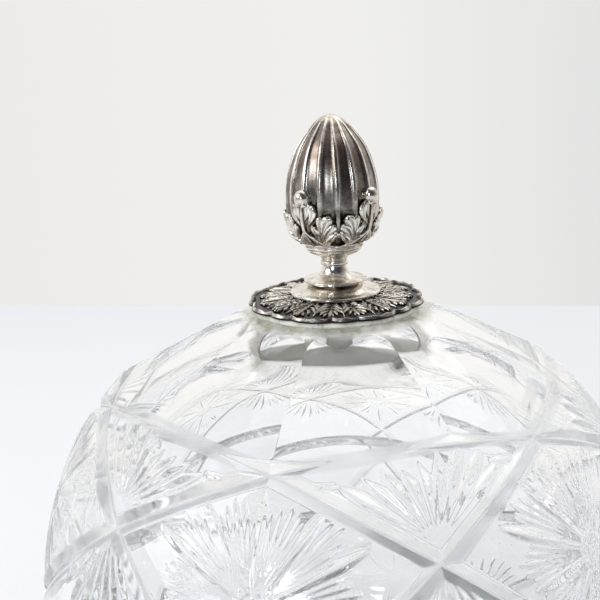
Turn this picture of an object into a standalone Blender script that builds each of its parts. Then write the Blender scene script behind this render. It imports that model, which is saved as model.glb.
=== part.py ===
"""Covered cut-glass powder jar with a silver bud knob, as a kit of separate pieces.

World frame: metres, +Z up, origin at the centre of the jar's foot on the surface it stands on.
All driving dimensions are in millimetres and are turned into metres where a mesh is made.
A turned outline is a list of (radius, height) points that runs down its outer side.
Azimuths are in degrees from -Y towards +X.
"""

import math

import bmesh
import bpy
from mathutils import Matrix, Vector

MM = 0.001

# ---------------------------------------------------------------- driving dimensions, mm
GAP = 0.3                 # clearance between pieces that touch
FINE_GAP = 0.15           # the same between the small silver pieces

JAR_H = 62.0              # foot to the shoulder that the lid rests on
LID_H = 66.5              # lid rim to the plane that the silver plate lies on
BODY_R = 68.8             # greatest outside radius, at the joint of jar and lid
JAR_FOOT_R = 46.0
WALL = 7.5                # glass wall at the lid's rim
NECK_H = 5.0              # ring of the jar that stands inside the lid
NECK_R = 60.0
NECK_WALL = 3.6
NECK_EDGE = 0.6           # chamfer on the neck ring's edges
FLOOR_T = 9.0             # thickness of the jar's floor

SEAT_FLAT_R = 18.4        # flat ground on top of the lid under the plate
SEAT_DROP = 1.2           # how far that flat lies under the plate's plane
CROWN_T = 10.0            # glass thickness at the middle of the lid
SOCKET_R = 3.2            # blind hole in the crown that the stud is cemented in
SOCKET_FLOOR = -8.6       # its floor, from the plate's plane

MITRES = 6                # planar mitre cuts round the glass
MITRE_SLOPE = 0.945       # rise of a mitre's plane towards its own side
MITRE_RISE = 6.2          # height of that plane over the joint, on the axis
MITRE_W = 5.0
MITRE_D = 1.6
MITRE_STEP = 0.08         # every second mitre is this much deeper
MITRE_REACH = 100.0       # degrees that a mitre runs to each side of its middle
MITRE_SECTIONS = 25
SLIVER = 0.03             # corners of the cuts that are closer than this are one corner
PANELS = 9                # flat panels ground round the lid's crown
PANEL_SLOPE = math.radians(28.5)
PANEL_APEX = 9.0          # where the panels' planes meet, over the plate's plane

PLATE_R = 19.4
PLATE_T = 1.0
PLATE_RISE = 0.7          # how far the plate's top is higher at its middle
CEMENT_R = 17.9           # bed of cement under the plate
PLATE_TURN = 20.0         # azimuth of the middle of a narrow scallop
SCALLOP_PAIRS = 8         # each pair is one narrow and one wide scallop
SCALLOP_SHARE = 0.38      # part of a pair's width that the narrow one takes
SCALLOP_D = 0.9
PLATE_POINTS = 96

KNOB_TURN = 65.5          # azimuth of the middle of an acanthus leaf
BUD_FLUTES = 16
FLUTE_D = 0.55
BUD_WALL = 0.9
LEAVES = 4
LEAF_T = 0.7
BERRY_R = 0.6
BERRY_Z = 13.4
STUD_R = 1.3
STUD_LOW = -8.0
STUD_TOP = 14.0
STUD_BORE = 1.6

RIM_Z = JAR_H + GAP       # lid rim
PLATE_Z = RIM_Z + LID_H   # plane that the silver plate lies on
KNOB_Z = PLATE_Z + PLATE_RISE     # the knob's heights start here
CEILING = -SEAT_DROP - CROWN_T

GLASS_STEPS = 60
GLASS_TURN = math.radians(0.9)   # keeps the facets' edges off the cuts' planes of symmetry
SILVER_STEPS = 32

# Outer line of the lid from the ground flat to the rim, measured from the plate's plane.
LID_OUTER = [
    (SEAT_FLAT_R, -SEAT_DROP), (24.3, -3.4), (36.1, -9.1), (46.0, -14.3), (51.0, -17.8),
    (56.6, -24.6), (60.9, -31.4), (65.7, -43.7), (68.3, -57.0), (BODY_R, -LID_H),
]
LID_INNER = [
    (BODY_R - WALL, -LID_H), (60.9, -57.0), (58.2, -43.7), (52.6, -32.5), (42.0, -23.8),
    (30.0, -16.8), (18.0, -12.6), (9.6, CEILING), (0.0, CEILING),
]
# Outer line of the jar from its shoulder to its foot, measured from the shoulder.
JAR_OUTER = [
    (BODY_R, 0.0), (68.3, -9.5), (65.7, -22.8), (60.9, -35.0), (54.8, -45.5), (49.5, -54.0),
    (47.2, -59.0), (JAR_FOOT_R, -JAR_H),
]
JAR_INNER = [
    (0.0, FLOOR_T - JAR_H), (34.0, FLOOR_T - JAR_H), (43.0, -50.0), (50.0, -41.0),
    (55.2, -30.0), (57.4, -16.0), (NECK_R - NECK_WALL, -4.0),
]
BUD = [
    (0.0, 39.6), (2.2, 38.8), (4.9, 36.2), (7.6, 32.5), (9.4, 27.4), (10.0, 22.6),
    (9.8, 18.6), (8.8, 15.4), (7.0, 13.2), (4.9, 12.2),
]
BUD_BASE = BUD[-1]
# Half the width of an acanthus leaf, in degrees round the bud, at heights up the bud.
LEAF_OUTLINE = [
    (28.0, 12.9), (40.0, 14.4), (42.0, 16.6), (42.0, 19.4), (36.0, 21.2), (17.0, 22.2),
    (14.0, 24.4), (8.0, 26.4),
]


# ---------------------------------------------------------------- scene and materials
def clear_scene():
    for item in list(bpy.data.objects):
        bpy.data.objects.remove(item, do_unlink=True)


def collection(name):
    group = bpy.data.collections.new(name)
    bpy.context.scene.collection.children.link(group)
    return group


def material(name, colour, roughness, metallic=0.0, transmission=0.0):
    made = bpy.data.materials.new(name)
    made.use_nodes = True
    shader = made.node_tree.nodes["Principled BSDF"]
    shader.inputs["Base Color"].default_value = (*colour, 1.0)
    shader.inputs["Roughness"].default_value = roughness
    shader.inputs["Metallic"].default_value = metallic
    shader.inputs["Transmission Weight"].default_value = transmission
    return made


# ---------------------------------------------------------------- shape helpers
def place(mesh, name, group, finish=None):
    item = bpy.data.objects.new(name, mesh)
    group.objects.link(item)
    if finish:
        mesh.materials.append(finish)
    return item


def turned(name, outline, group, finish, base=KNOB_Z, steps=SILVER_STEPS):
    """Turn an outline round Z: a closed ring, or a solid if its ends lie on the axis."""
    rows = [(r * MM, 0.0, (base + z) * MM) for r, z in outline]
    edges = [(i, i + 1) for i in range(len(rows) - 1)]
    if outline[0][0] > 0.0:
        edges.append((len(rows) - 1, 0))
    mesh = bpy.data.meshes.new(name)
    mesh.from_pydata(rows, edges, [])
    item = place(mesh, name, group, finish)
    screw = item.modifiers.new("turn", "SCREW")
    screw.steps = steps
    screw.render_steps = steps
    screw.use_merge_vertices = True
    screw.merge_threshold = 0.00001
    screw.use_smooth_shade = True
    return item


def freeze(item, weld=0.005):
    """Replace a curve or an object with modifiers by the plain mesh it makes, welded."""
    name = item.name
    group = item.users_collection[0]
    where = item.matrix_world.copy()
    seen = item.evaluated_get(bpy.context.evaluated_depsgraph_get())
    mesh = bpy.data.meshes.new_from_object(seen)
    shape = bmesh.new()
    shape.from_mesh(mesh)
    bmesh.ops.remove_doubles(shape, verts=shape.verts, dist=weld * MM)
    shape.to_mesh(mesh)
    shape.free()
    bpy.data.objects.remove(item, do_unlink=True)
    frozen = place(mesh, name, group)
    frozen.matrix_world = where
    return frozen


def finished(shape, name, group, finish=None):
    """Turn a bmesh into an object with its faces pointing out."""
    bmesh.ops.recalc_face_normals(shape, faces=shape.faces)
    mesh = bpy.data.meshes.new(name)
    shape.to_mesh(mesh)
    shape.free()
    return place(mesh, name, group, finish)


def cut(item, cutter, operation="DIFFERENCE"):
    step = item.modifiers.new(cutter.name, "BOOLEAN")
    step.operation = operation
    step.solver = "EXACT"
    step.object = cutter
    cutter.hide_render = True
    cutter.display_type = "WIRE"


def on_line(points, t):
    """Point and direction at share t of a line of points."""
    spot = t * (len(points) - 1)
    i = min(int(spot), len(points) - 2)
    (r0, z0), (r1, z1) = points[i], points[i + 1]
    f = spot - i
    return r0 + (r1 - r0) * f, z0 + (z1 - z0) * f, Vector((r1 - r0, z1 - z0)).normalized()


def radius_at(points, z):
    """Radius of a line of points at a height."""
    for (r0, z0), (r1, z1) in zip(points, points[1:]):
        if min(z0, z1) <= z <= max(z0, z1) and z0 != z1:
            return r0 + (r1 - r0) * (z - z0) / (z1 - z0)
    return points[-1][0]


def polar(radius, azimuth, z):
    turn = math.radians(azimuth)
    return Vector((radius * math.sin(turn), -radius * math.cos(turn), z))


# ---------------------------------------------------------------- cuts in the glass
def mitre_spot(line, psi):
    """Where a mitre's plane meets a line that runs from crown or foot to the joint."""
    low, high = 0.0, 1.0
    for _ in range(40):
        t = (low + high) / 2
        r, height, _ = on_line(line, t)
        plane = MITRE_RISE + MITRE_SLOPE * r * math.cos(math.radians(psi))
        if height > plane:
            low = t
        else:
            high = t
    return on_line(line, low)


def mitre_cutter(name, line, joint, up, middle, depth, group):
    """V-shaped bar along one planar cut. line holds heights over the joint, up is 1 or -1."""
    last = line[-1]
    longer = line + [(last[0], last[1] - 6.0)]
    spots = []
    for i in range(MITRE_SECTIONS + 1):
        psi = MITRE_REACH * (2 * i / MITRE_SECTIONS - 1)
        r, height, run = mitre_spot(longer, psi)
        spots.append((polar(r, middle + psi, joint + up * height),
                      polar(-run.y, middle + psi, up * run.x).normalized()))
    shape = bmesh.new()
    rows = []
    spread = 1.4
    for i, (here, out) in enumerate(spots):
        ahead = spots[min(i + 1, MITRE_SECTIONS)][0] - spots[max(i - 1, 0)][0]
        side = ahead.normalized().cross(out).normalized() * MITRE_W / 2 * spread
        lift = out * depth * (spread - 1)
        corners = (here + side + lift, here - side + lift, here - out * depth)
        rows.append([shape.verts.new(corner * MM) for corner in corners])
    for a, b in zip(rows, rows[1:]):
        for k in range(3):
            n = (k + 1) % 3
            shape.faces.new((a[k], a[n], b[n], b[k]))
    shape.faces.new(rows[0])
    shape.faces.new(rows[-1])
    return finished(shape, name, group)


def net_of_mitres(item, line, joint, up, group):
    """Six planar mitres, which cross in a net of diamonds. Neighbours differ in depth."""
    for k in range(MITRES):
        middle = (k + 0.5) * 360.0 / MITRES
        depth = MITRE_D + (k % 2) * MITRE_STEP
        name = f"{item.name}_mitre_{k + 1}"
        cut(item, mitre_cutter(name, line, joint, up, middle, depth, group))


def crown_pyramid(group):
    """Solid under the planes of the crown panels, whose seams pass over mitre crossings."""
    tall = 90.0
    shape = bmesh.new()
    low = PANEL_APEX + PLATE_Z - tall
    flat_r = tall / math.tan(PANEL_SLOPE)
    turn = Matrix.Rotation(-math.pi / 2, 4, "Z")
    stand = Matrix.Translation((0.0, 0.0, (low + tall / 2) * MM))
    bmesh.ops.create_cone(
        shape, cap_ends=True, segments=PANELS, radius1=flat_r / math.cos(math.pi / PANELS) * MM,
        radius2=0.0, depth=tall * MM, matrix=stand @ turn,
    )
    first = max(shape.verts, key=lambda v: -v.co.y)
    slip = math.atan2(first.co.x, -first.co.y)
    spin = Matrix.Rotation(-slip, 4, "Z")
    bmesh.ops.transform(shape, matrix=spin, verts=shape.verts)
    return finished(shape, "crown_panels", group)


# ---------------------------------------------------------------- glass
def glass_jar(parts, tools, glass):
    """Bowl with a thick floor, a flat foot and a neck ring that centres the lid."""
    inner = NECK_R - NECK_WALL
    neck = [(inner, NECK_H - NECK_EDGE), (inner + NECK_EDGE, NECK_H),
            (NECK_R - NECK_EDGE, NECK_H), (NECK_R, NECK_H - NECK_EDGE), (NECK_R, 0.0)]
    outline = JAR_INNER + neck + JAR_OUTER + [(0.0, -JAR_H)]
    jar = turned("glass_jar", outline, parts, glass, JAR_H, GLASS_STEPS)
    jar.rotation_euler.z = GLASS_TURN
    line = [(r, -z) for r, z in reversed(JAR_OUTER)]
    net_of_mitres(jar, line, JAR_H, -1, tools)
    bpy.context.view_layer.update()
    freeze(jar, SLIVER)


def glass_lid(parts, tools, glass):
    """Domed lid: blind socket, ground flat, nine crown panels and a net of mitre cuts."""
    socket = [(0.0, SOCKET_FLOOR), (SOCKET_R, SOCKET_FLOOR), (SOCKET_R, -SEAT_DROP)]
    outline = socket + LID_OUTER + LID_INNER
    lid = turned("glass_lid", outline, parts, glass, PLATE_Z, GLASS_STEPS)
    lid.rotation_euler.z = GLASS_TURN
    cut(lid, crown_pyramid(tools), "INTERSECT")
    line = [(r, z + LID_H) for r, z in LID_OUTER]
    net_of_mitres(lid, line, RIM_Z, 1, tools)
    bpy.context.view_layer.update()
    freeze(lid, SLIVER)


# ---------------------------------------------------------------- plate and stem
def scalloped(azimuth):
    """Radius of the plate's edge: narrow and wide scallops by turns."""
    share = (azimuth - PLATE_TURN) * SCALLOP_PAIRS / 360.0 + SCALLOP_SHARE / 2
    share -= math.floor(share)
    if share < SCALLOP_SHARE:
        across = 2 * share / SCALLOP_SHARE - 1
        swell = 0.7
    else:
        across = 2 * (share - SCALLOP_SHARE) / (1 - SCALLOP_SHARE) - 1
        swell = 1.0
    return PLATE_R - SCALLOP_D + SCALLOP_D * swell * (1 - abs(across) ** 2.4)


def rosette_plate(parts, silver):
    """Scalloped plate with a hole for the stud. Its top rises towards the hole."""
    curve = bpy.data.curves.new("rosette_plate", "CURVE")
    curve.dimensions = "2D"
    curve.fill_mode = "BOTH"
    curve.extrude = PLATE_T / 2 * MM
    rims = ((scalloped, PLATE_POINTS), (lambda azimuth: STUD_BORE, SILVER_STEPS))
    for radius, count in rims:
        spline = curve.splines.new("POLY")
        spline.points.add(count - 1)
        spline.use_cyclic_u = True
        for i, point in enumerate(spline.points):
            azimuth = 360.0 * i / count
            point.co = (*(polar(radius(azimuth), azimuth, 0.0) * MM), 1.0)
    plate = bpy.data.objects.new("rosette_plate", curve)
    plate.location.z = (PLATE_Z + PLATE_T / 2) * MM
    parts.objects.link(plate)
    bpy.context.view_layer.update()
    plate = freeze(plate)
    plate.data.materials.append(silver)
    for vertex in plate.data.vertices:
        if vertex.co.z > 0.0 and math.hypot(vertex.co.x, vertex.co.y) < 2 * STUD_BORE * MM:
            vertex.co.z += PLATE_RISE * MM


def ring(name, low, high, inner, outer, group, finish, base=PLATE_Z):
    """Plain round sleeve or washer between two heights over a base."""
    rows = [(outer, high), (outer, low), (inner, low), (inner, high)]
    turned(name, rows, group, finish, base)


def stem(parts, silver):
    """Sloping base ring, flared foot, neck ring and calyx cup, one on the other."""
    turned("base_ring", [
        (5.4, 3.1), (6.2, 2.95), (7.2, 2.5), (8.4, 2.05), (9.4, 1.8), (9.75, 1.65),
        (9.8, 1.4), (9.5, PLATE_T + FINE_GAP), (STUD_BORE, PLATE_T + FINE_GAP),
        (STUD_BORE, 1.9), (5.2, 1.9), (5.2, 3.0),
    ], parts, silver)
    turned("stem_foot", [
        (2.9, 7.4), (2.85, 7.0), (3.0, 6.3), (3.45, 5.5), (4.5, 4.85), (5.8, 4.5), (6.5, 4.3),
        (6.7, 4.05), (6.6, 3.75), (5.6, 3.5), (4.9, 3.3), (4.9, 2.1), (STUD_BORE, 2.1),
        (STUD_BORE, 7.4),
    ], parts, silver)
    turned("neck_ring", [
        (2.8, 8.35), (3.0, 8.2), (3.1, 7.95), (3.0, 7.7), (2.8, 7.55), (STUD_BORE, 7.55),
        (STUD_BORE, 8.35),
    ], parts, silver)
    top = BUD_BASE[1] - FINE_GAP
    turned("calyx_cup", [
        (4.7, top), (4.1, 11.5), (3.7, 11.1), (3.2, 10.5), (2.85, 9.5), (2.75, 8.5),
        (STUD_BORE, 8.5), (STUD_BORE, top),
    ], parts, silver)


# ---------------------------------------------------------------- bud
def bud_shell(parts, silver):
    """Hollow fluted bud, open where it sits on the calyx cup."""
    base_r, base_z = BUD_BASE
    inside = [(base_r - BUD_WALL, base_z)]
    for r, z in reversed(BUD[2:-1]):
        inside.append((r - BUD_WALL, z + BUD_WALL * 0.3 if z < 18.0 else z - BUD_WALL * 0.4))
    inside.append((0.0, BUD[0][1] - 2 * BUD_WALL))
    bud = turned("bud_shell", BUD + inside, parts, None, KNOB_Z, BUD_FLUTES * 4)
    bpy.context.view_layer.update()
    bud = freeze(bud)
    bud.data.materials.append(silver)
    low, high = BUD[-2][1], BUD[1][1]
    for vertex in bud.data.vertices:
        r = math.hypot(vertex.co.x, vertex.co.y) / MM
        z = vertex.co.z / MM - KNOB_Z
        if low < z < high and abs(r - radius_at(BUD, z)) < 0.2:
            turn = math.atan2(vertex.co.y, vertex.co.x)
            depth = FLUTE_D * (1 - math.cos(BUD_FLUTES * turn)) / 2
            vertex.co.x *= 1 - depth / r
            vertex.co.y *= 1 - depth / r
    bud.rotation_euler.z = math.radians(KNOB_TURN - 67.5)


def off_bud(z, azimuth, out):
    """Point at a distance from the bud's side, square to it."""
    step = 0.4
    r = radius_at(BUD, z)
    slope = (radius_at(BUD, z + step) - radius_at(BUD, z - step)) / (2 * step)
    square = Vector((1.0, -slope)).normalized() * out
    return polar(r + square.x, azimuth, KNOB_Z + z + square.y)


def acanthus_leaf(number, parts, silver):
    """Broad leaf that hugs the bud, as a curved sheet with thickness."""
    middle = KNOB_TURN + number * 360.0 / LEAVES
    across = 8
    shape = bmesh.new()
    layers = []
    for out in (GAP, GAP + LEAF_T):
        rows = []
        for half, z in LEAF_OUTLINE:
            angles = [middle + half * (2 * i / across - 1) for i in range(across + 1)]
            rows.append([shape.verts.new(off_bud(z, a, out) * MM) for a in angles])
        layers.append(rows)
    for rows in layers:
        for a, b in zip(rows, rows[1:]):
            for i in range(across):
                shape.faces.new((a[i], a[i + 1], b[i + 1], b[i]))
    inner, outer = (
        rows[0] + [row[-1] for row in rows[1:]] + rows[-1][-2::-1]
        + [row[0] for row in rows[-2:0:-1]] for rows in layers
    )
    for i in range(len(inner)):
        n = (i + 1) % len(inner)
        shape.faces.new((inner[i], inner[n], outer[n], outer[i]))
    finished(shape, f"acanthus_leaf_{number + 1}", parts, silver)


def berry(number, parts, silver):
    """Small ball in the gap between two leaves."""
    shape = bmesh.new()
    bmesh.ops.create_uvsphere(shape, u_segments=12, v_segments=8, radius=BERRY_R * MM)
    item = finished(shape, f"berry_{number + 1}", parts, silver)
    azimuth = KNOB_TURN + (number + 0.5) * 360.0 / LEAVES
    item.location = off_bud(BERRY_Z, azimuth, BERRY_R + GAP) * MM


# ---------------------------------------------------------------- fixings
def fixings(parts, brass, cement):
    """What holds the knob to the glass: boss, threaded stud, cement bed and cement plug."""
    ring("bud_boss", BUD_BASE[1], STUD_TOP + 0.4, STUD_R + FINE_GAP, 3.7, parts, brass, KNOB_Z)
    bevel = 0.4
    top = PLATE_RISE + STUD_TOP
    turned("threaded_stud", [
        (0.0, top), (STUD_R - bevel, top), (STUD_R, top - bevel), (STUD_R, STUD_LOW + bevel),
        (STUD_R - bevel, STUD_LOW), (0.0, STUD_LOW),
    ], parts, brass, PLATE_Z, 16)
    ring("cement_bed", -SEAT_DROP + GAP, -GAP, SOCKET_R, CEMENT_R, parts, cement)
    ring("stud_cement", SOCKET_FLOOR + GAP, -SEAT_DROP, STUD_BORE, SOCKET_R - GAP, parts, cement)


def main():
    clear_scene()
    parts = collection("powder_jar")
    tools = collection("cutters")
    glass = material("cut_glass", (0.93, 0.96, 0.97), 0.02, 0.0, 1.0)
    silver = material("old_silver", (0.72, 0.68, 0.62), 0.28, 1.0)
    plate_silver = material("oxidised_silver", (0.45, 0.42, 0.39), 0.4, 1.0)
    brass = material("dull_brass", (0.5, 0.44, 0.33), 0.4, 1.0)
    cement = material("aged_cement", (0.50, 0.49, 0.43), 0.85)
    glass_jar(parts, tools, glass)
    glass_lid(parts, tools, glass)
    rosette_plate(parts, plate_silver)
    stem(parts, silver)
    bud_shell(parts, silver)
    for number in range(LEAVES):
        acanthus_leaf(number, parts, silver)
        berry(number, parts, silver)
    fixings(parts, brass, cement)


main()
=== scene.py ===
"""Looks of the covered cut-glass powder jar: cut glass, old silver, cement and light.

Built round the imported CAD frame. Sizes are in millimetres until a mesh is made.
Azimuths are in degrees from -Y towards +X, and heights of lid pieces start at the plate's plane.
"""

import math

import bmesh
import bpy
import numpy as np
from mathutils import Matrix, Vector

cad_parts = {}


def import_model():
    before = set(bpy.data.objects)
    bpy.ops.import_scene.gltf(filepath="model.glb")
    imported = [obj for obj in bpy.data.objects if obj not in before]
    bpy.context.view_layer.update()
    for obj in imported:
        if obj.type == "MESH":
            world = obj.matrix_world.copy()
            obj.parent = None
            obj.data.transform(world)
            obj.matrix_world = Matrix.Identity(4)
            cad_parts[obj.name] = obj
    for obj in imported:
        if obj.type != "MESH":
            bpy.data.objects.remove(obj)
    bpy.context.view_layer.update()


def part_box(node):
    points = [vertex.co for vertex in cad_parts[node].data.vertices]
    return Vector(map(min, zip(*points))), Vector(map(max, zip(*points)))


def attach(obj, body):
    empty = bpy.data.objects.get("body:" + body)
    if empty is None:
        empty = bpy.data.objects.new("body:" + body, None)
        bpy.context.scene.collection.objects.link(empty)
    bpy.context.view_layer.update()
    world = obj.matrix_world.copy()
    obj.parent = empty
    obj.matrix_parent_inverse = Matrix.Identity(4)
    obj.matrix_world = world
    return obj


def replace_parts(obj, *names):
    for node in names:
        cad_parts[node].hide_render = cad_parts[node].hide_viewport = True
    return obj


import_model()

MM = 0.001


def mm(value):
    """Millimetres from metres."""
    return value / MM


# ---------------------------------------------------------------- places read from the frame
LID_LOW, LID_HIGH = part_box("glass_lid")
JAR_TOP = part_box("glass_jar")[1].z
PLATE_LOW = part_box("rosette_plate")[0]
RIM_Z = mm(LID_LOW.z)                 # lid rim
PLATE_Z = mm(PLATE_LOW.z)             # plane that the silver plate lies on
PLATE_RISE = 0.7                      # how far the plate's top is higher at its middle
KNOB_Z = PLATE_Z + PLATE_RISE         # the knob's heights start here
JOINT_GAP = 0.3
JAR_H = RIM_Z - JOINT_GAP             # shoulder that the lid rests on
LID_H = PLATE_Z - RIM_Z
BODY_R = 68.8
JAR_FOOT_R = 46.0
NECK_R = 60.0
NECK_H = mm(JAR_TOP) - JAR_H
FLOOR_T = 9.0
WALL = 7.5
SEAT_R = 18.4
SEAT_Z = mm(LID_HIGH.z) - PLATE_Z
CEILING = SEAT_Z - 10.0
SOCKET_R = 3.2                        # blind hole that the knob's stud is cemented in
SOCKET_FLOOR = -8.6

# Cuts in the glass
MITRES = 6                            # V cuts that each run right round the glass
MITRE_SLOPE = 0.945                   # rise of a mitre's plane towards its own side
MITRE_RISE = 7.1                      # height of that plane over the joint, on the axis
MITRE_HALF = 2.0                      # half the width of a mitre
CUT_STEEPNESS = 0.64                  # depth of a cut for each mm of half width
STAR_UP = 30.0                        # arc from the joint up to a star's heart
HEART_R = 3.4                         # radius of the heart
SPRAY_START = 3.2                     # radius at which the fine fans start
HATCH_PITCH = 1.9                     # spacing of the cross-hatching in it
FAN_UP = 40.0                         # arc from the joint up to a fan's foot
SKIRT_DROP = 3.4                      # how far the cuts that hang down start under that
CUT_BLEND = 0.15                      # depth from which a point counts as cut
MITRE_BLEND = 0.3                     # depth from which it counts as part of a mitre
PANELS = 9
PANEL_SLOPE = math.radians(28.5)
PANEL_APEX = 9.0                      # height at which the panels' planes would meet
STAIN_R = 23.5                        # cement stains the glass this far from the axis
STAIN_SOFT = 3.5                      # width over which the stain fades

# Foot of the jar
FOOT_RING_R = 43.0                    # inner radius of the ring that the jar stands on
BASE_LIFT = 0.6                       # how far the base inside that ring is lifted
BASE_RAYS = 24
BASE_LONG, BASE_SHORT = 37.0, 30.0    # reach of the base star's two kinds of ray
BASE_DEEP = 2.2

# Knob
KNOB_TURN = 65.5                      # azimuth of an acanthus leaf
PLATE_TURN = 20.0                     # azimuth of a narrow scallop
BUD_FLUTES = 16
LEAVES = 4
SPRIGS = 16
PLATE_R = 19.4
SCALLOP_PAIRS = 8                     # each pair is a narrow scallop and a wide one
SCALLOP_SHARE = 0.38                  # share of a pair that the narrow one takes
SCALLOP_D = 1.1                       # depth of the notches between them
BOND = 0.05                           # cement reaches this far into the glass, so it wets it

LID_OUTER = [
    (SEAT_R, SEAT_Z), (24.3, -3.4), (36.1, -9.1), (46.0, -14.3), (51.0, -17.8),
    (56.6, -24.6), (60.9, -31.4), (65.7, -43.7), (68.3, -57.0), (BODY_R, -LID_H),
]
LID_INNER = [
    (BODY_R - WALL, -LID_H), (60.9, -57.0), (58.2, -43.7), (52.6, -32.5), (42.0, -23.8),
    (30.0, -16.8), (18.0, -12.6), (9.6, CEILING), (4.0, CEILING),
]
JAR_OUTER = [
    (BODY_R, 0.0), (68.3, -9.5), (65.7, -22.8), (60.9, -35.0), (54.8, -45.5), (49.5, -54.0),
    (47.2, -59.0), (JAR_FOOT_R, -JAR_H),
]
JAR_INNER = [
    (1.0, FLOOR_T - JAR_H), (20.0, FLOOR_T - JAR_H), (34.0, FLOOR_T - JAR_H + 0.4),
    (43.0, -50.0), (50.0, -41.0), (55.2, -30.0), (57.4, -16.0), (56.4, -4.0),
    (56.4, NECK_H - 0.8),
]
BUD = [
    (0.0, 39.6), (2.2, 38.8), (4.9, 36.2), (7.6, 32.5), (9.4, 27.4), (10.0, 22.6),
    (9.8, 18.6), (8.8, 15.4), (7.0, 13.2), (4.9, 12.2),
]


# ---------------------------------------------------------------- lines and grids
def smooth_line(points, step):
    """Evenly spaced points on a Catmull-Rom curve through the given ones."""
    p = np.array(points, float)
    ends = np.vstack([2 * p[0] - p[1], p, 2 * p[-1] - p[-2]])
    t = np.linspace(0, 1, 40, endpoint=False)[:, None]
    runs = []
    for a, b, c, d in zip(ends, ends[1:], ends[2:], ends[3:]):
        runs.append(0.5 * (2 * b + (c - a) * t + (2 * a - 5 * b + 4 * c - d) * t ** 2
                           + (3 * b - a - 3 * c + d) * t ** 3))
    fine = np.vstack(runs + [p[-1:]])
    lengths = np.hypot(*np.diff(fine, axis=0).T)
    s = np.concatenate([[0], np.cumsum(lengths)])
    count = max(2, int(round(s[-1] / step)))
    even = np.linspace(0, s[-1], count + 1)
    return np.column_stack([np.interp(even, s, fine[:, 0]), np.interp(even, s, fine[:, 1])])


def arc_lengths(line):
    """Distance along a line from its start to each point."""
    return np.concatenate([[0], np.cumsum(np.hypot(*np.diff(line, axis=0).T))])


def outward(line):
    """Unit normals (radius, height) on the outer side of a line that runs downhill."""
    run = np.gradient(line, axis=0)
    run /= np.hypot(*run.T)[:, None]
    return np.column_stack([-run[:, 1], run[:, 0]])


def all_round(columns):
    """Even azimuths in radians, once round."""
    return np.linspace(0, 2 * math.pi, columns, endpoint=False)


def ring_of(radius, height, azimuths):
    """Points at a radius and height, one for each azimuth in radians. Arrays broadcast."""
    return np.stack([radius * np.sin(azimuths), -radius * np.cos(azimuths),
                     np.broadcast_to(height, np.broadcast(radius, azimuths).shape)], axis=-1)


def grid_object(name, grid, closed_rows=False, tips=(None, None), marks=None, flip=False):
    """Mesh from rows of points in mm. Columns close on themselves, and tips cap the ends."""
    rows, columns = grid.shape[:2]
    index = np.arange(rows * columns).reshape(rows, columns)
    below = np.roll(index, -1, axis=0) if closed_rows else index[1:]
    above = index if closed_rows else index[:-1]
    quads = np.stack([above, np.roll(above, -1, 1), np.roll(below, -1, 1), below], -1)
    quads = quads.reshape(-1, 4)
    points = grid.reshape(-1, 3)
    extra, fans = [], []
    for tip, row in zip(tips, (0, rows - 1)):
        if tip is None:
            continue
        centre = len(points) + len(extra)
        extra.append((0.0, 0.0, tip))
        a, b = index[row], np.roll(index[row], -1)
        pair = (b, a) if row == 0 else (a, b)
        fans.append(np.stack([*pair, np.full(columns, centre)], -1))
    if extra:
        points = np.vstack([points, extra])
    corners = [quads.ravel()] + [f.ravel() for f in fans]
    sizes = [np.full(len(quads), 4)] + [np.full(len(f), 3) for f in fans]
    loops, sizes = np.concatenate(corners), np.concatenate(sizes)
    starts = np.concatenate([[0], np.cumsum(sizes)[:-1]])
    mesh = bpy.data.meshes.new(name)
    mesh.vertices.add(len(points))
    mesh.vertices.foreach_set("co", (points * MM).ravel())
    mesh.loops.add(len(loops))
    mesh.loops.foreach_set("vertex_index", loops.astype(np.int32))
    mesh.polygons.add(len(sizes))
    mesh.polygons.foreach_set("loop_start", starts.astype(np.int32))
    mesh.polygons.foreach_set("loop_total", sizes.astype(np.int32))
    mesh.update(calc_edges=True)
    if flip:
        mesh.flip_normals()
    mesh.shade_smooth()
    for label, values in (marks or {}).items():
        layer = mesh.attributes.new(label, "FLOAT", "POINT")
        padded = np.concatenate([np.asarray(values, float).ravel(), np.zeros(len(extra))])
        layer.data.foreach_set("value", padded)
    item = bpy.data.objects.new(name, mesh)
    bpy.context.scene.collection.objects.link(item)
    return item


# ---------------------------------------------------------------- cuts
def leaf_cut(x, y, start, angle, length, half, widest=0.68):
    """Depth of a V cut that is pointed at both ends. angle is from +y towards +x."""
    turn = math.radians(angle)
    dx, dy = math.sin(turn), math.cos(turn)
    px, py = x - start[0], y - start[1]
    t = np.clip((px * dx + py * dy) / length, 0, 1)
    power = math.log(0.5) / math.log(widest)
    width = half * np.sin(math.pi * t ** power) ** 0.75
    return np.maximum(0, CUT_STEEPNESS * (width - np.abs(px * dy - py * dx)))


def fan(x, y, start, middle, spread, count, length, half, widest=0.68, short=1.0):
    """Leaf cuts fanned about an angle. The outer ones are shorter by the share short."""
    depth = np.zeros_like(x)
    for i in range(count):
        off = (2 * i / (count - 1) - 1) if count > 1 else 0.0
        reach = length * (1 - (1 - short) * abs(off))
        cut = leaf_cut(x, y, start, middle + off * spread, reach, half, widest)
        depth = np.maximum(depth, cut)
    return depth


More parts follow.
